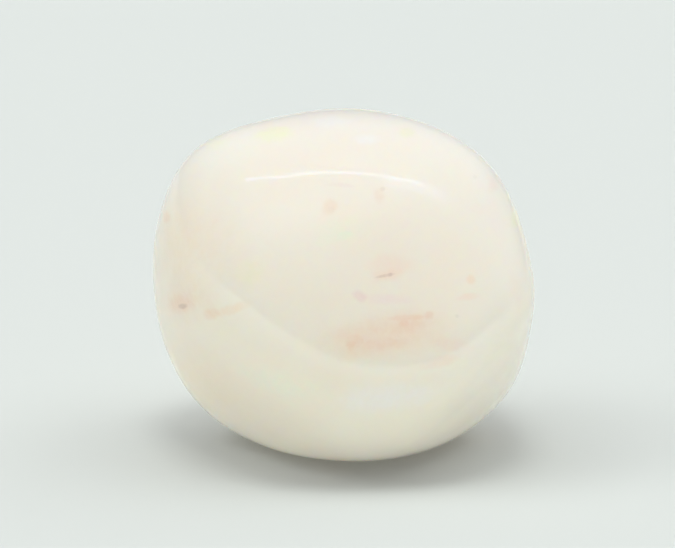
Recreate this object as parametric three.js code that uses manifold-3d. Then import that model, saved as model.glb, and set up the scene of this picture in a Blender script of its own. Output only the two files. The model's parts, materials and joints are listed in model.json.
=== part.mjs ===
// A polished nugget of milky common opal, tumbled to soft flats with no sharp edges.
// Millimetres, +Z up. The side that faces -Y is the front. The stone rests on a small
// flat spot, and the origin is on that surface, under the middle of the stone.

import * as THREE from "three";
import { mergeVertices } from "three/addons/utils/BufferGeometryUtils.js";
import Module from "manifold-3d";

// Each soft flat of the stone: turn is in degrees from the front (-Y) towards +X, tilt is
// in degrees up from level, and reach is how far the flat lies from the stone's middle.
const UPPER_FLATS = [
  { name: "front", turn: 7, tilt: 16, reach: 7.0 },
  { name: "brow over the front", turn: 4, tilt: 58, reach: 7.5 },
  { name: "right side", turn: 102, tilt: 5, reach: 6.9 },
  { name: "left side", turn: -79, tilt: 3, reach: 7.5 },
  { name: "right shoulder", turn: 40, tilt: 38, reach: 7.0 },
  { name: "left shoulder", turn: -35, tilt: 39, reach: 7.9 },
  { name: "crown", turn: 165, tilt: 82, reach: 7.1 },
  { name: "back", turn: 178, tilt: 6, reach: 6.8 },
  { name: "left slope over the back", turn: -140, tilt: 42, reach: 7.0 },
  { name: "right slope over the back", turn: 130, tilt: 40, reach: 6.9 },
];
const UNDER_FLATS = [
  { name: "left undercut of the front", turn: -53, tilt: -28, reach: 6.6 },
  { name: "undercut of the front", turn: 0, tilt: -37, reach: 8.0 },
  { name: "right undercut of the front", turn: 63, tilt: -32, reach: 7.2 },
  { name: "base", turn: 0, tilt: -87, reach: 6.8 },
  { name: "slope under the back", turn: 178, tilt: -58, reach: 7.4 },
  { name: "left slope under the back", turn: -140, tilt: -18, reach: 6.8 },
  { name: "right slope under the back", turn: 154, tilt: -22, reach: 6.8 },
];

// How tightly one flat turns into the next: 2 would be a ball, 20 would look cut. Where
// the upper flats meet the under flats, the stone keeps a tighter ridge all round.
const EDGE_TIGHTNESS = 8;
const RIDGE_TIGHTNESS = 12;

// How much is ground off the lowest point, which gives the spot that the stone rests on.
const GROUND_OFF_BASE = 0.05;

// Edge divisions of the icosahedron that the surface is drawn on.
const SURFACE_DIVISIONS = 15;

const OPAL_COLOR = "#ece4d2";
const OPAL_ROUGHNESS = 0.08;

// The direction that a flat faces.
function facing({ turn, tilt }) {
  const aside = THREE.MathUtils.degToRad(turn);
  const up = THREE.MathUtils.degToRad(tilt);
  return new THREE.Vector3(
    Math.sin(aside) * Math.cos(up),
    -Math.cos(aside) * Math.cos(up),
    Math.sin(up),
  );
}

// How strongly one side's flats pull the surface in along a direction. Every flat that
// the direction meets pulls, and the nearest one pulls most.
function pullOf(flats, direction) {
  let pull = 0;
  for (const { normal, reach } of flats) {
    const share = direction.dot(normal) / reach;
    if (share > 0) pull += share ** EDGE_TIGHTNESS;
  }
  return pull ** (RIDGE_TIGHTNESS / EDGE_TIGHTNESS);
}

// How far the surface lies from the stone's middle in one direction.
function surfaceReach(direction, sides) {
  const pull = sides.reduce((sum, flats) => sum + pullOf(flats, direction), 0);
  return pull ** (-1 / RIDGE_TIGHTNESS);
}

// A closed geometry whose triangles share their corners.
function joined(geometry) {
  geometry.deleteAttribute("normal");
  geometry.deleteAttribute("uv");
  return mergeVertices(geometry, 1e-5);
}

// The stone as tumbled, before its resting spot is ground.
function tumbledStone() {
  const sides = [UPPER_FLATS, UNDER_FLATS].map((flats) =>
    flats.map((flat) => ({ normal: facing(flat), reach: flat.reach })),
  );
  const geometry = joined(new THREE.IcosahedronGeometry(1, SURFACE_DIVISIONS));
  const corners = geometry.attributes.position;
  const corner = new THREE.Vector3();
  for (let i = 0; i < corners.count; i++) {
    corner.fromBufferAttribute(corners, i).normalize();
    corner.multiplyScalar(surfaceReach(corner, sides));
    corners.setXYZ(i, corner.x, corner.y, corner.z);
  }
  geometry.computeBoundingBox();
  return geometry;
}

// A block that takes away everything below the given height.
function blockBelow(height, box) {
  const size = box.getSize(new THREE.Vector3()).multiplyScalar(2);
  const block = new THREE.BoxGeometry(size.x, size.y, size.z);
  return joined(block).translate(0, 0, height - size.z / 2);
}

function solidFrom(wasm, geometry) {
  return new wasm.Manifold(
    new wasm.Mesh({
      numProp: 3,
      vertProperties: geometry.attributes.position.array,
      triVerts: new Uint32Array(geometry.index.array),
    }),
  );
}

function geometryFrom(solid) {
  const mesh = solid.getMesh();
  const geometry = new THREE.BufferGeometry();
  geometry.setAttribute(
    "position",
    new THREE.BufferAttribute(mesh.vertProperties, mesh.numProp),
  );
  geometry.setIndex(new THREE.BufferAttribute(mesh.triVerts, 1));
  geometry.computeVertexNormals();
  geometry.computeBoundingBox();
  return geometry;
}

// The whole stone, ground flat below and moved so that it stands on the origin.
function restingStone(wasm) {
  const tumbled = tumbledStone();
  const restHeight = tumbled.boundingBox.min.z + GROUND_OFF_BASE;
  const ground = solidFrom(wasm, tumbled).subtract(
    solidFrom(wasm, blockBelow(restHeight, tumbled.boundingBox)),
  );
  const geometry = geometryFrom(ground);
  const middle = geometry.boundingBox.getCenter(new THREE.Vector3());
  return geometry.translate(-middle.x, -middle.y, -restHeight);
}

const wasm = await Module();
wasm.setup();

const opal = new THREE.Mesh(
  restingStone(wasm),
  new THREE.MeshStandardMaterial({
    color: OPAL_COLOR,
    roughness: OPAL_ROUGHNESS,
    metalness: 0,
  }),
);
opal.name = "opal";

const gemstone = new THREE.Group();
gemstone.add(opal);

export default gemstone;
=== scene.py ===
import json
import math

import bpy
from mathutils import Matrix, Vector
from mathutils.bvhtree import BVHTree

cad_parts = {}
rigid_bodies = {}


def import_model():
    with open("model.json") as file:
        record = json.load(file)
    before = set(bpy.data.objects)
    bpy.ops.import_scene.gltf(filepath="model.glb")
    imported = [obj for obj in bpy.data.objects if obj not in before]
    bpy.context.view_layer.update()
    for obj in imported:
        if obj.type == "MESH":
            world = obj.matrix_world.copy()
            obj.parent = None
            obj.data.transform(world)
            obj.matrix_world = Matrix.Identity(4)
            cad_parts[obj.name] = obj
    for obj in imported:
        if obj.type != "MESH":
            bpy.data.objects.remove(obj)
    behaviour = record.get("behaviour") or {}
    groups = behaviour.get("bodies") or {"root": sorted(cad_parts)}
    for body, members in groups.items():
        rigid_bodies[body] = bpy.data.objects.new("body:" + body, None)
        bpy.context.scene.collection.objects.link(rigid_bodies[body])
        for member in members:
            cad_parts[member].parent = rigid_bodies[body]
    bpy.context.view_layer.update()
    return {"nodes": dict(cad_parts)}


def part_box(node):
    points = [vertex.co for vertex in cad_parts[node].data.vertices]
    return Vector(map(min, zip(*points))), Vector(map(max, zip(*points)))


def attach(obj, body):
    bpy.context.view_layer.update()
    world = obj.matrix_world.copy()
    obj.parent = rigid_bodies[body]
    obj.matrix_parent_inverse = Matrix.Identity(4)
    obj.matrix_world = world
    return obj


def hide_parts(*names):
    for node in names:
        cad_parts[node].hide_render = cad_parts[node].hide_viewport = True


mm = 0.001
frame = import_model()
print("frame loaded:", ", ".join(frame["nodes"]))


# Small helpers

def deselectAll():
    for other in bpy.context.view_layer.objects:
        other.select_set(False)


def makeActive(piece):
    deselectAll()
    piece.select_set(True)
    bpy.context.view_layer.objects.active = piece


def applyModifier(piece, kind, **values):
    modifier = piece.modifiers.new(kind.title(), kind)
    for key, value in values.items():
        setattr(modifier, key, value)
    makeActive(piece)
    bpy.ops.object.modifier_apply(modifier=modifier.name)


# Degrees from the front towards +X, and degrees above level
def directionAt(turn, height):
    aside = math.radians(turn)
    rise = math.radians(height)
    level = math.cos(rise)
    return Vector((math.sin(aside) * level, -math.cos(aside) * level, math.sin(rise)))


# The linear colour of an 8-bit screen colour
def screenColor(red, green, blue):
    def linear(part):
        part /= 255
        return part / 12.92 if part <= 0.04045 else ((part + 0.055) / 1.055) ** 2.4
    return (linear(red), linear(green), linear(blue), 1)


# Camera

view = {
    "imageSize": (675, 548),       # the photograph, in pixels
    "pixelsPerMm": 25.47,          # at the stone
    "aimHeight": 7.0 * mm,         # a point above the origin that is seen at aimPixel
    "aimPixel": (342.6, 276.7),
    "elevation": 15.0,             # degrees above level
    "distance": 300 * mm,
}


# The picture's right, up and towards-the-viewer directions
def pictureAxes():
    rise = math.radians(view["elevation"])
    right = Vector((1, 0, 0))
    up = Vector((0, math.sin(rise), math.cos(rise)))
    back = Vector((0, -math.cos(rise), math.sin(rise)))
    return right, up, back


def makeCamera():
    right, up, back = pictureAxes()
    width, height = view["imageSize"]
    perPixel = mm / view["pixelsPerMm"]
    aside = (width / 2 - view["aimPixel"][0]) * perPixel
    above = (view["aimPixel"][1] - height / 2) * perPixel
    target = Vector((0, 0, view["aimHeight"])) + right * aside + up * above
    data = bpy.data.cameras.new("camera")
    data.sensor_width = 36
    data.lens = data.sensor_width * view["distance"] / (width * perPixel)
    data.clip_start = 10 * mm
    data.clip_end = 10
    camera = bpy.data.objects.new("camera", data)
    bpy.context.scene.collection.objects.link(camera)
    camera.location = target + back * view["distance"]
    camera.rotation_euler = (math.radians(90 - view["elevation"]), 0, 0)
    bpy.context.scene.camera = camera
    return camera


# Where a pixel of the photograph looks from, and which way
def pixelRay(pixel):
    right, up, back = pictureAxes()
    width, height = view["imageSize"]
    perPixel = mm / view["pixelsPerMm"]
    aside = (pixel[0] - width / 2) * perPixel
    above = (height / 2 - pixel[1]) * perPixel
    direction = right * aside + up * above - back * view["distance"]
    return camera.location.copy(), direction.normalized()


camera = makeCamera()
print("camera done")


# Stone

stoneShape = {
    "ballCuts": 23,             # cuts along each edge of the cube that becomes the ball
    "ballRadius": 8.6 * mm,     # a little outside the stone
    "surfaceLevels": 2,         # Subdivision Surface levels
    "polishWave": 0.03 * mm,    # soft unevenness left by hand polishing
    "polishWaveSize": 3.2 * mm,
    "spotRise": 0.8 * mm,       # the unevenness fades out towards the resting spot below this
    "swellsFrom": 0.1,          # mm above the resting spot where the swells begin
    "swellsSlope": 3,           # share of their height that they gain per mm from there
    "swells": {                 # low swells and dips in the outline: place, reach and height in mm
        "underLeft": ((-2.6, -1.4, 0.5), 4.0, 0.12),
        "underRight": ((4.5, -0.8, 0.9), 4.0, 0.11),
        "lowRight": ((7.0, 0.3, 3.2), 3.6, 0.07),
        "lowLeft": ((-6.3, 1.0, 2.4), 3.2, 0.06),
        "shoulderRight": ((6.0, -0.2, 11.0), 4.0, 0.05),
        "topLeft": ((-3.4, 0.8, 13.2), 4.0, -0.10),
    },
}


# A merged, smoother copy of the CAD stone, for the new surface to settle on
def makeGuide():
    guide = bpy.data.objects.new("opalGuide", frame["nodes"]["opal"].data.copy())
    bpy.context.scene.collection.objects.link(guide)
    makeActive(guide)
    bpy.ops.object.mode_set(mode="EDIT")
    bpy.ops.mesh.select_all(action="SELECT")
    bpy.ops.mesh.remove_doubles(threshold=0.001 * mm)
    bpy.ops.mesh.normals_make_consistent(inside=False)
    bpy.ops.object.mode_set(mode="OBJECT")
    applyModifier(guide, "SUBSURF", levels=1, render_levels=1)
    return guide


def makeStone():
    low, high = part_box("opal")
    guide = makeGuide()
    deselectAll()
    bpy.ops.mesh.primitive_cube_add(size=2 * stoneShape["ballRadius"], location=(low + high) / 2)
    stone = bpy.context.object
    stone.name = "opalNugget"
    bpy.ops.object.mode_set(mode="EDIT")
    bpy.ops.mesh.select_all(action="SELECT")
    bpy.ops.mesh.subdivide(number_cuts=stoneShape["ballCuts"])
    bpy.ops.transform.tosphere(value=1)
    bpy.ops.object.mode_set(mode="OBJECT")
    applyModifier(stone, "SHRINKWRAP", target=guide, wrap_method="TARGET_PROJECT")
    levels = stoneShape["surfaceLevels"]
    applyModifier(stone, "SUBSURF", levels=levels, render_levels=levels)
    bpy.data.objects.remove(guide)
    makeActive(stone)
    bpy.ops.object.transform_apply(location=True, rotation=True, scale=True)
    return stone


# Moves the surface out, or in where the height is negative, around a few places
def addSwells(stone):
    start = stoneShape["swellsFrom"]
    slope = stoneShape["swellsSlope"]
    for name, (place, reach, height) in stoneShape["swells"].items():
        group = stone.vertex_groups.new(name=name)
        for vertex in stone.data.vertices:
            near = max(0, 1 - (vertex.co / mm - Vector(place)).length / reach)
            eased = near * near * (3 - 2 * near)
            aboveSpot = min(1, max(0, (vertex.co.z / mm - start) * slope))
            group.add([vertex.index], eased * aboveSpot, "REPLACE")
        applyModifier(stone, "DISPLACE", mid_level=0, strength=height * mm, vertex_group=name)
    stone.vertex_groups.clear()


# Hand polishing leaves broad, very low waves, which fade out around the resting spot
def addPolishWaves(stone):
    waves = bpy.data.textures.new("polishWaves", "CLOUDS")
    waves.noise_scale = stoneShape["polishWaveSize"]
    waves.noise_depth = 1
    group = stone.vertex_groups.new(name="aboveTheSpot")
    for vertex in stone.data.vertices:
        weight = min(1, max(0, vertex.co.z / stoneShape["spotRise"]))
        group.add([vertex.index], weight, "REPLACE")
    applyModifier(
        stone, "DISPLACE", texture=waves, texture_coords="LOCAL", mid_level=0.5,
        strength=stoneShape["polishWave"], vertex_group=group.name)
    stone.vertex_groups.clear()


stone = makeStone()
addSwells(stone)
addPolishWaves(stone)
makeActive(stone)
bpy.ops.object.shade_smooth()
print("stone done:", len(stone.data.polygons), "faces")


# Node helpers

def newGroup(name, inputs, outputs):
    group = bpy.data.node_groups.new(name, "ShaderNodeTree")
    for socketName, kind in inputs:
        group.interface.new_socket(socketName, in_out="INPUT", socket_type="NodeSocket" + kind)
    for socketName, kind in outputs:
        group.interface.new_socket(socketName, in_out="OUTPUT", socket_type="NodeSocket" + kind)
    given = group.nodes.new("NodeGroupInput").outputs
    result = group.nodes.new("NodeGroupOutput").inputs
    return group, given, result


def addNode(tree, kind, settings, inputs):
    node = tree.nodes.new("ShaderNode" + kind)
    for key, value in settings.items():
        setattr(node, key, value)
    for key, value in inputs.items():
        if isinstance(value, bpy.types.NodeSocket):
            tree.links.new(value, node.inputs[key])
        else:
            node.inputs[key].default_value = value
    return node


def calculate(tree, operation, *values):
    return addNode(tree, "Math", {"operation": operation}, dict(enumerate(values))).outputs[0]


def calculateVector(tree, operation, *values):
    return addNode(tree, "VectorMath", {"operation": operation}, dict(enumerate(values))).outputs[0]


def scaleVector(tree, vector, factor):
    inputs = {0: vector, "Scale": factor}
    return addNode(tree, "VectorMath", {"operation": "SCALE"}, inputs).outputs[0]


# A value that goes smoothly from one level to another as the input passes a range
def easeBetween(tree, value, low, high, lowGives=0.0, highGives=1.0):
    inputs = {0: value, 1: low, 2: high, 3: lowGives, 4: highGives}
    return addNode(tree, "MapRange", {"interpolation_type": "SMOOTHSTEP"}, inputs).outputs[0]


def mixColors(tree, factor, first, second):
    return addNode(tree, "Mix", {"data_type": "RGBA"}, {0: factor, 6: first, 7: second}).outputs[2]


def addNoise(tree, vector, scale, detail, roughness, distortion=0.0):
    inputs = {"Vector": vector, "Scale": scale, "Detail": detail, "Roughness": roughness,
              "Distortion": distortion}
    return addNode(tree, "TexNoise", {}, inputs)


# Node groups of the stone. Their coordinates are in millimetres.

# The milky body: clouds of a paler and a warmer tone in the base colour
def makeBodyGroup():
    group, given, result = newGroup(
        "milkyBody",
        [("Vector", "Vector"), ("Base", "Color"), ("Pale", "Color"), ("Warm", "Color"),
         ("Cloud Size", "Float"), ("Cloud Strength", "Float")],
        [("Color", "Color")])
    scale = calculate(group, "DIVIDE", 1.0, given["Cloud Size"])
    paleNoise = addNoise(group, given["Vector"], scale, 2.0, 0.5, 0.8)
    pale = easeBetween(group, paleNoise.outputs["Fac"], 0.38, 0.66)
    apart = calculateVector(group, "ADD", given["Vector"], (31, 7, 19))
    warmNoise = addNoise(group, apart, calculate(group, "MULTIPLY", scale, 0.7), 2.0, 0.5, 0.5)
    warm = easeBetween(group, warmNoise.outputs["Fac"], 0.42, 0.68)
    paleShare = calculate(group, "MULTIPLY", pale, given["Cloud Strength"])
    warmShare = calculate(group, "MULTIPLY", warm, given["Cloud Strength"])
    paler = mixColors(group, paleShare, given["Base"], given["Pale"])
    group.links.new(mixColors(group, warmShare, paler, given["Warm"]), result["Color"])
    return group


# Scattered flecks: a mask, and a number for each fleck that picks its colour
def makeFleckGroup():
    group, given, result = newGroup(
        "scatteredFlecks",
        [("Vector", "Vector"), ("Spacing", "Float"), ("Share", "Float"), ("Strength", "Float")],
        [("Mask", "Float"), ("Pick", "Float")])
    bend = addNoise(group, given["Vector"], 0.55, 3.0, 0.6)
    centred = calculateVector(group, "SUBTRACT", bend.outputs["Color"], (0.5, 0.5, 0.5))
    bent = calculateVector(group, "MULTIPLY_ADD", centred, (1.8, 1.8, 1.8), given["Vector"])
    cells = addNode(group, "TexVoronoi", {"feature": "F1"},
                    {"Vector": bent, "Scale": calculate(group, "DIVIDE", 1.0, given["Spacing"]),
                     "Randomness": 0.9})
    parts = addNode(group, "SeparateColor", {}, {0: cells.outputs["Color"]}).outputs
    shown = calculate(group, "LESS_THAN", parts["Red"], given["Share"])
    blob = easeBetween(group, cells.outputs["Distance"], 0.12, 0.42, 1.0, 0.0)
    fade = calculate(group, "MULTIPLY_ADD", parts["Blue"], 0.7, 0.3)
    mask = calculate(group, "MULTIPLY", calculate(group, "MULTIPLY", shown, blob), fade)
    group.links.new(calculate(group, "MULTIPLY", mask, given["Strength"]), result["Mask"])
    group.links.new(parts["Green"], result["Pick"])
    return group


# A soft, ragged spot in the surface, whose mask is its strength inside and 0 outside
def makeSpotGroup():
    group, given, result = newGroup(
        "softSpot",
        [("Vector", "Vector"), ("Ragged", "Vector"), ("Grain", "Float"), ("Place", "Vector"),
         ("Turn", "Vector"), ("Half Size", "Vector"), ("Softness", "Float"),
         ("Raggedness", "Float"), ("Breakup", "Float"), ("Strength", "Float")],
        [("Mask", "Float")])
    local = addNode(group, "Mapping", {"vector_type": "TEXTURE"},
                    {"Vector": given["Vector"], "Location": given["Place"],
                     "Rotation": given["Turn"], "Scale": given["Half Size"]}).outputs[0]
    offset = scaleVector(group, given["Ragged"], given["Raggedness"])
    moved = calculateVector(group, "ADD", local, offset)
    reach = addNode(group, "VectorMath", {"operation": "LENGTH"}, {0: moved}).outputs["Value"]
    inner = calculate(group, "SUBTRACT", 1.0, given["Softness"])
    outer = calculate(group, "ADD", 1.0, given["Softness"])
    spot = easeBetween(group, reach, inner, outer, 1.0, 0.0)
    taken = calculate(group, "MULTIPLY", given["Grain"], given["Breakup"])
    kept = calculate(group, "SUBTRACT", 1.0, taken)
    mask = calculate(group, "MULTIPLY", calculate(group, "MULTIPLY", spot, kept), given["Strength"])
    group.links.new(mask, result["Mask"])
    return group


bodyGroup = makeBodyGroup()
fleckGroup = makeFleckGroup()
spotGroup = makeSpotGroup()


# Stone material

opalLook = {
    "base": (252, 239, 222),          # screen colours of the body
    "pale": (252, 244, 230),
    "warm": (252, 235, 215),
    "cloudSize": 4.5,                 # mm
    "cloudStrength": 0.3,
    "roughness": (0.05, 0.09),        # in the best and the least polished places
    "ior": 1.5,
    "specular": 0.9,
    "milkDepth": 5.0 * mm,            # how far light spreads under the surface
    "milkSpread": (1.0, 0.8, 0.55),   # red spreads furthest
    "fleckSpacing": 2.6,              # mm
    "fleckShare": 0.3,
    "fleckStrength": 0.2,
    "flecksFrom": -4.0,               # mm along Y, where the scattered flecks begin
    "flecksFull": -1.0,               # and where all of them show
    "fleckColors": ("paleGreen", "yellowGreen", "teal", "pink", "tan", "mauve"),
    "polishMarks": 0.004 * mm,        # height of the finest unevenness
}

# In the order in which they cover each other, the last on top
markColors = {
    # warm is also used below for a painted glow of light through the lower left
    "warm": (246, 229, 203),
    # lilac is also used below for a painted reflection on the band
    "lilac": (254, 248, 252),
    "olive": (240, 242, 196),
    "teal": (218, 253, 231),
    "pink": (255, 227, 210),
    "mauve": (252, 218, 222),
    "paleGreen": (212, 255, 220),
    "yellowGreen": (240, 255, 165),
    "plum": (236, 203, 206),
    "tan": (238, 204, 172),
    "coral": (254, 203, 166),
    "russet": (238, 184, 148),
    "dark": (110, 72, 48),
}

# Marks that the photograph shows: pixel, length and width in pixels, slope in the picture in
# degrees, colour, strength, softness, raggedness
frontMarks = {
    "streakUpperLeft": ((272, 134), (36, 13), 8, "yellowGreen", 0.25, 0.5, 0.5),
    "streakUpperLeftTip": ((282, 131), (15, 9), 10, "yellowGreen", 0.26, 0.5, 0.3),
    "edgeUpperLeft": ((216, 141), (24, 11), 28, "yellowGreen", 0.16, 0.6, 0.5),
    "tealUpperLeft": ((226, 153), (50, 24), 15, "teal", 0.16, 0.8, 0.5),
    "lilacTopLeft": ((332, 121), (34, 9), 0, "lilac", 0.25, 0.7, 0.5),
    "lilacTop": ((367, 139), (20, 9), 0, "lilac", 0.30, 0.7, 0.4),
    "oliveTopRight": ((407, 132), (16, 9), 0, "olive", 0.40, 0.5, 0.4),
    "streakUnderLine": ((340, 185), (26, 4), -4, "plum", 0.16, 0.6, 0.4),
    "dotUnderLine": ((382.5, 189), (5, 4.5), 0, "dark", 0.10, 0.5, 0.2),
    "tailUnderLine": ((379, 196), (9, 13), 10, "tan", 0.20, 0.6, 0.5),
    "fleckUpper": ((329.5, 207.5), (13, 17), -25, "tan", 0.23, 0.5, 0.6),
    "fleckUpperCore": ((331, 210), (6, 7), -25, "dark", 0.025, 0.5, 0.3),
    "greenFleck": ((344, 235), (18, 10), 10, "paleGreen", 0.30, 0.5, 0.6),
    "greenFleckWide": ((343, 229), (46, 22), 8, "paleGreen", 0.18, 0.7, 0.6),
    "dotUpperRight": ((475, 177), (4, 4), 0, "dark", 0.05, 0.5, 0.1),
    "pinkRimRight": ((494, 184), (10, 16), -20, "pink", 0.40, 0.6, 0.4),
    "greenRimRight": ((516, 219), (9, 14), 0, "yellowGreen", 0.20, 0.6, 0.4),
    "pinkRimLow": ((517, 291), (12, 34), 8, "pink", 0.35, 0.7, 0.3),
    "dotLeftRim": ((166, 217), (11, 11), 0, "coral", 0.34, 0.5, 0.2),
    "oliveFleck": ((250, 275), (26, 24), 80, "olive", 0.30, 0.7, 0.5),
    "threadHaze": ((389, 266), (40, 22), 0, "pink", 0.50, 0.5, 0.3),
    "threadTint": ((387, 275.5), (26, 10), 11, "coral", 0.16, 0.7, 0.4),
    "thread": ((385, 275.6), (19, 2.8), 11, "dark", 0.20, 0.4, 0.3),
    "threadKnot": ((390, 274.6), (6, 3.4), 11, "dark", 0.26, 0.5, 0.3),
    "spotRight": ((471, 279.5), (9, 9), 0, "coral", 0.24, 0.5, 0.3),
    "pinkStreakRight": ((467, 297), (21, 7), 8, "pink", 0.55, 0.5, 0.4),
    "plumFleck": ((360, 296), (13, 10), -35, "plum", 0.28, 0.5, 0.6),
    "mauveTrail": ((386, 299), (44, 9), -4, "mauve", 0.26, 0.7, 0.6),
    "hollowHalo": ((184, 301), (46, 34), 0, "tan", 0.22, 0.8, 0.4),
    "hollow": ((180, 303), (24, 17), 0, "russet", 0.27, 0.6, 0.4),
    "hollowCore": ((182.5, 306.2), (8.5, 5), 5, "dark", 0.30, 0.5, 0.2),
    "redSpotLeft": ((211, 314), (14, 10), 10, "russet", 0.27, 0.6, 0.4),
    "redStreakLeft": ((230, 310), (32, 9), 18, "coral", 0.26, 0.6, 0.5),
    "patchHaze": ((386, 335), (96, 36), 9, "tan", 0.32, 0.6, 0.35),
    "patchLeft": ((355, 341), (24, 16), 25, "tan", 0.42, 0.5, 0.5),
    "patchLeftCore": ((351, 344), (9, 6), 20, "russet", 0.16, 0.5, 0.4),
    "patchBody": ((384, 343), (60, 16), 3, "tan", 0.38, 0.7, 0.5),
    "patchMiddle": ((405, 327), (56, 20), 6, "tan", 0.38, 0.7, 0.5),
    "patchTopStreak": ((407, 317.5), (38, 5), 2, "russet", 0.20, 0.5, 0.5),
    "patchTopLink": ((404, 323), (8, 10), 10, "russet", 0.20, 0.6, 0.5),
    "patchDot": ((429, 315), (9, 8), 15, "russet", 0.30, 0.5, 0.4),
    "patchRight": ((449, 344), (34, 16), -10, "pink", 0.55, 0.6, 0.6),
    "dotRight": ((457, 316), (4, 3.6), 0, "dark", 0.07, 0.5, 0.1),
    "pinkOverBand": ((441, 361), (34, 10), 18, "pink", 0.60, 0.6, 0.5),
    "tealLow": ((278, 385), (66, 22), -18, "teal", 0.28, 0.7, 0.6),
    "tealOverBand": ((371, 366), (40, 16), 0, "teal", 0.20, 0.8, 0.6),
    # painted reflection: a paler, whiter patch on the band, where the stone mirrors the lit floor
    # in front
    "paintedBandReflection": ((386, 399), (84, 24), 4, "lilac", 0.36, 0.8, 0.6),
    "warmLeft": ((178, 250), (60, 70), 0, "warm", 0.60, 0.8, 0.3),
    # painted light: a warm glow on the lower left, where light shines through the thick lower part
    # of the stone
    "paintedGlowLowLeft": ((205, 385), (70, 46), -40, "warm", 0.35, 0.9, 0.5),
}

# Marks of the same kinds on the sides that the photograph doesn't show: degrees from the
# front towards +X, degrees above level, then as above but with sizes in millimetres
otherMarks = {
    "topStreak": (150, 78, (1.9, 0.6), 20, "yellowGreen", 0.24, 0.45, 0.5),
    "topThread": (-120, 62, (1.1, 0.09), 15, "dark", 0.07, 0.4, 0.3),
    "backPatch": (168, 8, (2.9, 0.9), 8, "coral", 0.16, 0.5, 0.9),
    "backPatchStreak": (164, 14, (1.7, 0.2), 6, "russet", 0.16, 0.5, 0.6),
    "backPatchDot": (157, 15, (0.35, 0.3), 0, "russet", 0.26, 0.5, 0.4),
    "backGreen": (-160, 32, (1.5, 0.6), -12, "paleGreen", 0.24, 0.6, 0.7),
    "backThread": (-172, -2, (1.3, 0.1), -14, "dark", 0.08, 0.4, 0.3),
    "backHollow": (142, -14, (0.5, 0.4), 20, "russet", 0.24, 0.5, 0.5),
    "backHollowCore": (143, -14.5, (0.24, 0.18), 20, "dark", 0.08, 0.5, 0.2),
    "rightFleck": (96, 22, (0.6, 0.45), 30, "coral", 0.22, 0.5, 0.6),
    "rightPatch": (108, -6, (1.8, 0.7), -16, "coral", 0.14, 0.5, 0.9),
    "leftFleck": (-104, 12, (0.5, 0.6), 0, "plum", 0.26, 0.5, 0.7),
    "leftPatch": (-122, -14, (2.1, 0.7), 12, "coral", 0.16, 0.5, 0.9),
    "leftGreen": (-96, 42, (1.4, 0.6), -20, "paleGreen", 0.22, 0.6, 0.7),
}
markGrain = {
    "breakup": 0.3,       # how much the fine grain takes away from the marks
    "grainScale": 3.0,    # per mm
    "edgeScale": 1.6,     # per mm, of the noise that makes the edges ragged
    "edgeReach": 2.2,     # how far that noise moves an edge, for a raggedness of 1
    "leastFacing": 0.35,  # marks on a surface that turns further away aren't drawn out more
}


# A mark's place, turn and half size in millimetres, for a spot whose length lies along a direction
def spotValues(place, normal, inDirection, lengthMm, widthMm):
    along = (inDirection - normal * inDirection.dot(normal)).normalized()
    across = normal.cross(along)
    turn = Matrix((along, across, normal)).transposed().to_euler()
    return {"Place": place / mm, "Turn": turn,
            "Half Size": (lengthMm / 2, widthMm / 2, max(lengthMm, widthMm) / 2)}


# A mark seen in the photograph: the half axes of its ellipse are laid on the sloping surface along
# the line of sight, where they give another ellipse, whose own axes are then found
def placeFrontMark(surface, pixel, sizePixels, slope):
    right, up, back = pictureAxes()
    place, normal, index, distance = surface.ray_cast(*pixelRay(pixel))
    facing = max(markGrain["leastFacing"], normal.dot(back))
    laid = []
    for turn, pixels in ((slope, sizePixels[0]), (slope + 90, sizePixels[1])):
        angle = math.radians(turn)
        seen = (right * math.cos(angle) + up * math.sin(angle)) * (pixels / 2 / view["pixelsPerMm"])
        laid.append(seen - back * (seen.dot(normal) / facing))
    first, second = laid
    swing = math.atan2(2 * first.dot(second), first.dot(first) - second.dot(second)) / 2
    longAxis = first * math.cos(swing) + second * math.sin(swing)
    wideAxis = second * math.cos(swing) - first * math.sin(swing)
    return spotValues(place, normal, longAxis, 2 * longAxis.length, 2 * wideAxis.length)


# A mark on another side, found from the stone's middle; its slope is measured from level
def placeOtherMark(surface, turn, height, sizeMm, slope):
    low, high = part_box("opal")
    outwards = directionAt(turn, height)
    place, normal, index, distance = surface.ray_cast((low + high) / 2, outwards)
    level = Vector((0, 0, 1)).cross(normal).normalized()
    rising = normal.cross(level)
    angle = math.radians(slope)
    return spotValues(place, normal, level * math.cos(angle) + rising * math.sin(angle), *sizeMm)


def addMarks(tree, inMm, color):
    surface = BVHTree.FromObject(stone, bpy.context.evaluated_depsgraph_get())
    edge = addNoise(tree, inMm, markGrain["edgeScale"], 4.0, 0.6)
    ragged = calculateVector(tree, "SUBTRACT", edge.outputs["Color"], (0.5, 0.5, 0.5))
    ragged = scaleVector(tree, ragged, markGrain["edgeReach"])
    apart = calculateVector(tree, "ADD", inMm, (13, 5, 29))
    fine = addNoise(tree, apart, markGrain["grainScale"], 4.0, 0.6, 0.6)
    grain = easeBetween(tree, fine.outputs["Fac"], 0.35, 0.65)
    placed = []
    for pixel, size, slope, *looks in frontMarks.values():
        placed.append((placeFrontMark(surface, pixel, size, slope), *looks))
    for turn, height, size, slope, *looks in otherMarks.values():
        placed.append((placeOtherMark(surface, turn, height, size, slope), *looks))
    for colorName in markColors:
        mask = 0.0
        for values, markColor, strength, softness, raggedness in placed:
            if markColor != colorName:
                continue
            spot = addNode(tree, "Group", {"node_tree": spotGroup}, {
                "Vector": inMm, "Ragged": ragged, "Grain": grain, "Softness": softness,
                "Raggedness": raggedness, "Breakup": markGrain["breakup"],
                "Strength": strength, **values})
            mask = calculate(tree, "MAXIMUM", mask, spot.outputs["Mask"])
        color = mixColors(tree, mask, color, screenColor(*markColors[colorName]))
    return color


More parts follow.
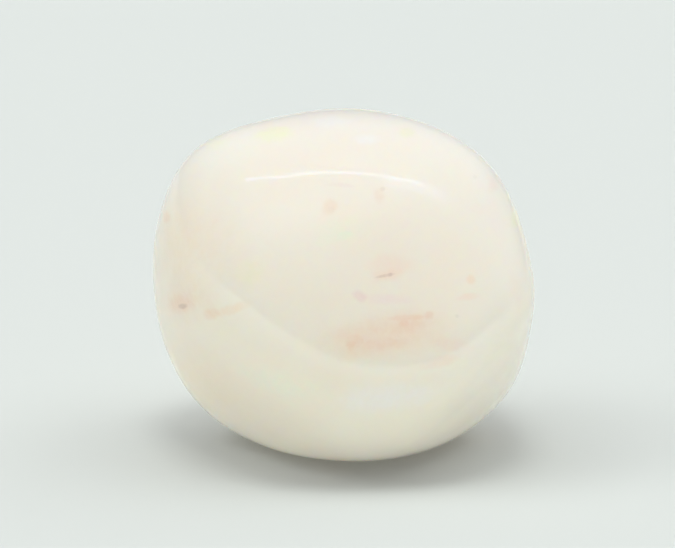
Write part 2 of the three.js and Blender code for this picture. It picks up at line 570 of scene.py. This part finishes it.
# Flecks of other colours on the sides that the photograph doesn't show
def addScatteredFlecks(tree, inMm, color):
    flecks = addNode(tree, "Group", {"node_tree": fleckGroup}, {
        "Vector": inMm, "Spacing": opalLook["fleckSpacing"], "Share": opalLook["fleckShare"],
        "Strength": opalLook["fleckStrength"]})
    ramp = addNode(tree, "ValToRGB", {}, {0: flecks.outputs["Pick"]})
    ramp.color_ramp.interpolation = "CONSTANT"
    names = opalLook["fleckColors"]
    ramp.color_ramp.elements.remove(ramp.color_ramp.elements[1])
    ramp.color_ramp.elements[0].color = screenColor(*markColors[names[0]])
    for step, name in enumerate(names[1:], 1):
        stop = ramp.color_ramp.elements.new(step / len(names))
        stop.color = screenColor(*markColors[name])
    towardsBack = addNode(tree, "SeparateXYZ", {}, {0: inMm}).outputs["Y"]
    away = easeBetween(tree, towardsBack, opalLook["flecksFrom"], opalLook["flecksFull"])
    mask = calculate(tree, "MULTIPLY", flecks.outputs["Mask"], away)
    return mixColors(tree, mask, color, ramp.outputs["Color"])


def makeOpalMaterial():
    look = opalLook
    material = bpy.data.materials.new("milkyOpal")
    material.use_nodes = True
    tree = material.node_tree
    shader = tree.nodes["Principled BSDF"]
    place = addNode(tree, "TexCoord", {}, {}).outputs["Object"]
    inMm = scaleVector(tree, place, 1 / mm)

    body = addNode(tree, "Group", {"node_tree": bodyGroup}, {
        "Vector": inMm, "Base": screenColor(*look["base"]), "Pale": screenColor(*look["pale"]),
        "Warm": screenColor(*look["warm"]), "Cloud Size": look["cloudSize"],
        "Cloud Strength": look["cloudStrength"]})
    color = addScatteredFlecks(tree, inMm, body.outputs["Color"])
    color = addMarks(tree, inMm, color)
    tree.links.new(color, shader.inputs["Base Color"])

    polish = addNoise(tree, inMm, 0.9, 5.0, 0.6).outputs["Fac"]
    best, least = look["roughness"]
    tree.links.new(easeBetween(tree, polish, 0.35, 0.75, best, least), shader.inputs["Roughness"])
    bump = addNode(tree, "Bump", {}, {"Height": polish, "Distance": look["polishMarks"]})
    tree.links.new(bump.outputs[0], shader.inputs["Normal"])
    shader.inputs["IOR"].default_value = look["ior"]
    shader.inputs["Specular IOR Level"].default_value = look["specular"]
    shader.inputs["Subsurface Weight"].default_value = 1.0
    shader.inputs["Subsurface Radius"].default_value = look["milkSpread"]
    shader.inputs["Subsurface Scale"].default_value = look["milkDepth"]
    return material


stone.data.materials.clear()
stone.data.materials.append(makeOpalMaterial())
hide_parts("opal")
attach(stone, "root")
print("material done:", len(frontMarks) + len(otherMarks), "marks")


# Studio

studio = {
    "floorRadius": 900 * mm,
    "floorColor": (190, 195, 191),        # screen colour; the floor-only light makes it pale
    "backdrop": (226, 231, 228),          # what the camera sees above the horizon
    "ambient": (0.57, 0.56, 0.61),        # even light from all round
    "mirrorFront": (0.03, 0.03, 0.03),    # what the stone mirrors: a dark room in front,
    "mirrorBack": (0.50, 0.53, 0.55),     # a pale backdrop behind
    "mirrorTop": (0.43, 0.46, 0.50),      # and a soft ceiling
    "backEdge": (-0.3, 0.3),              # Y of the directions between which front turns to back
    "topEdge": (0.70, 0.90),              # Z of those between which walls turn to ceiling
    "lampDistance": 200 * mm,             # where the far lights' objects are put
}

# Soft light from far away: degrees from the front towards +X, degrees above level, how wide
# the source looks in degrees, strength, tint, and whether the floor or the stone gets it
farLights = {
    "floorTop": {
        "turn": 0, "height": 90, "width": 26, "strength": 0.3, "tint": "warm", "only": "floor"},
    "floorFront": {
        "turn": 0, "height": 76, "width": 20, "strength": 0.9, "tint": "warm", "only": "floor"},
    "floorLeft": {
        "turn": -80, "height": 60, "width": 40, "strength": 0.8, "tint": "warm", "only": "floor"},
    "floorRight": {
        "turn": 80, "height": 60, "width": 40, "strength": 0.7, "tint": "warm", "only": "floor"},
    "floorLowLeft": {
        "turn": -80, "height": 38, "width": 36, "strength": 0.35, "tint": "warm", "only": "floor"},
    "floorLowRight": {
        "turn": 125, "height": 38, "width": 36, "strength": 0.3, "tint": "warm", "only": "floor"},
    "floorBack": {
        "turn": 180, "height": 40, "width": 40, "strength": 0.1, "tint": "warm", "only": "floor"},
    "stoneTop": {
        "turn": 0, "height": 80, "width": 60, "strength": 1.5, "tint": "cool", "only": "stone"},
    "stoneLeft": {
        "turn": -80, "height": -20, "width": 50, "strength": 0.15, "tint": "cool", "only": "stone"},
    "stoneRight": {
        "turn": 70, "height": 15, "width": 30, "strength": 0.1, "tint": "cool", "only": "stone"},
    "stoneUnder": {
        "turn": 180, "height": -65, "width": 30, "strength": 1.1, "tint": "cool", "only": "stone"},
}
tints = {"warm": (0.99, 1.0, 0.97), "cool": (0.95, 1.0, 1.09)}

# Lamps over the stone that only its mirror image shows: middle, height, length, width and spin
# in millimetres and degrees, and how bright they look
mirroredLamps = {
    "tubeLeft": {
        "place": (-41, -7.3, 100), "size": (33, 2.6), "spin": -11.8, "glow": (1.2, 1.45, 2.5)},
    "tubeMiddle": {
        "place": (-5.5, -10.1, 100), "size": (39, 2.6), "spin": 1.8, "glow": (1.2, 1.45, 2.4)},
    "tubeRight": {
        "place": (40, -6.6, 100), "size": (52, 2.6), "spin": 6.5, "glow": (1.0, 1.2, 2.0)},
    "tubeGlow": {
        "place": (62, -9, 101), "size": (40, 10), "spin": 10, "glow": (0.40, 0.48, 0.80)},
}


def makeFloor():
    deselectAll()
    bpy.ops.mesh.primitive_circle_add(vertices=96, radius=studio["floorRadius"], fill_type="NGON")
    floor = bpy.context.object
    floor.name = "floor"
    material = bpy.data.materials.new("paleFloor")
    material.use_nodes = True
    shader = material.node_tree.nodes["Principled BSDF"]
    shader.inputs["Base Color"].default_value = screenColor(*studio["floorColor"])
    shader.inputs["Roughness"].default_value = 0.9
    shader.inputs["Specular IOR Level"].default_value = 0.0
    floor.data.materials.append(material)
    return floor


def addLight(name, data, place):
    light = bpy.data.objects.new(name, data)
    bpy.context.scene.collection.objects.link(light)
    light.location = place
    light.visible_camera = False
    return light


def makeFarLight(name, values):
    source = directionAt(values["turn"], values["height"])
    data = bpy.data.lights.new(name, "SUN")
    data.angle = math.radians(values["width"])
    data.energy = values["strength"]
    data.color = tints[values["tint"]]
    light = addLight(name, data, source * studio["lampDistance"])
    light.rotation_euler = source.to_track_quat("Z", "Y").to_euler()
    light.visible_glossy = False
    light.light_linking.receiver_collection = receivers[values["only"]]
    if values["only"] == "stone":
        light.light_linking.blocker_collection = receivers["stone"]  # the floor doesn't shade it


def makeMirroredLamp(name, values):
    data = bpy.data.lights.new(name, "AREA")
    data.shape = "RECTANGLE"
    data.size = values["size"][0] * mm
    data.size_y = values["size"][1] * mm
    data.energy = math.pi * data.size * data.size_y
    data.color = values["glow"]
    lamp = addLight(name, data, Vector(values["place"]) * mm)
    lamp.rotation_euler = (0, 0, math.radians(values["spin"]))
    lamp.visible_diffuse = False


# The world gives even light, and shows other tones to the stone's mirror image and to the camera
def makeWorld():
    world = bpy.data.worlds.new("studio")
    bpy.context.scene.world = world
    world.use_nodes = True
    tree = world.node_tree
    direction = addNode(tree, "TexCoord", {}, {}).outputs["Generated"]
    parts = addNode(tree, "SeparateXYZ", {}, {0: direction}).outputs
    towardsBack = easeBetween(tree, parts["Y"], *studio["backEdge"])
    towardsTop = easeBetween(tree, parts["Z"], *studio["topEdge"])
    mirrored = mixColors(tree, towardsBack, (*studio["mirrorFront"], 1), (*studio["mirrorBack"], 1))
    mirrored = mixColors(tree, towardsTop, mirrored, (*studio["mirrorTop"], 1))
    rays = addNode(tree, "LightPath", {}, {}).outputs
    light = mixColors(tree, rays["Is Glossy Ray"], (*studio["ambient"], 1), mirrored)
    light = mixColors(tree, rays["Is Camera Ray"], light, screenColor(*studio["backdrop"]))
    tree.links.new(light, tree.nodes["Background"].inputs["Color"])


receivers = {}
for receiverName, receiver in (("floor", makeFloor()), ("stone", stone)):
    receivers[receiverName] = bpy.data.collections.new(receiverName + "Only")
    receivers[receiverName].objects.link(receiver)
for lampName, lampValues in farLights.items():
    makeFarLight(lampName, lampValues)
for lampName, lampValues in mirroredLamps.items():
    makeMirroredLamp(lampName, lampValues)
makeWorld()
bpy.context.scene.view_settings.view_transform = "Standard"
print("studio done")
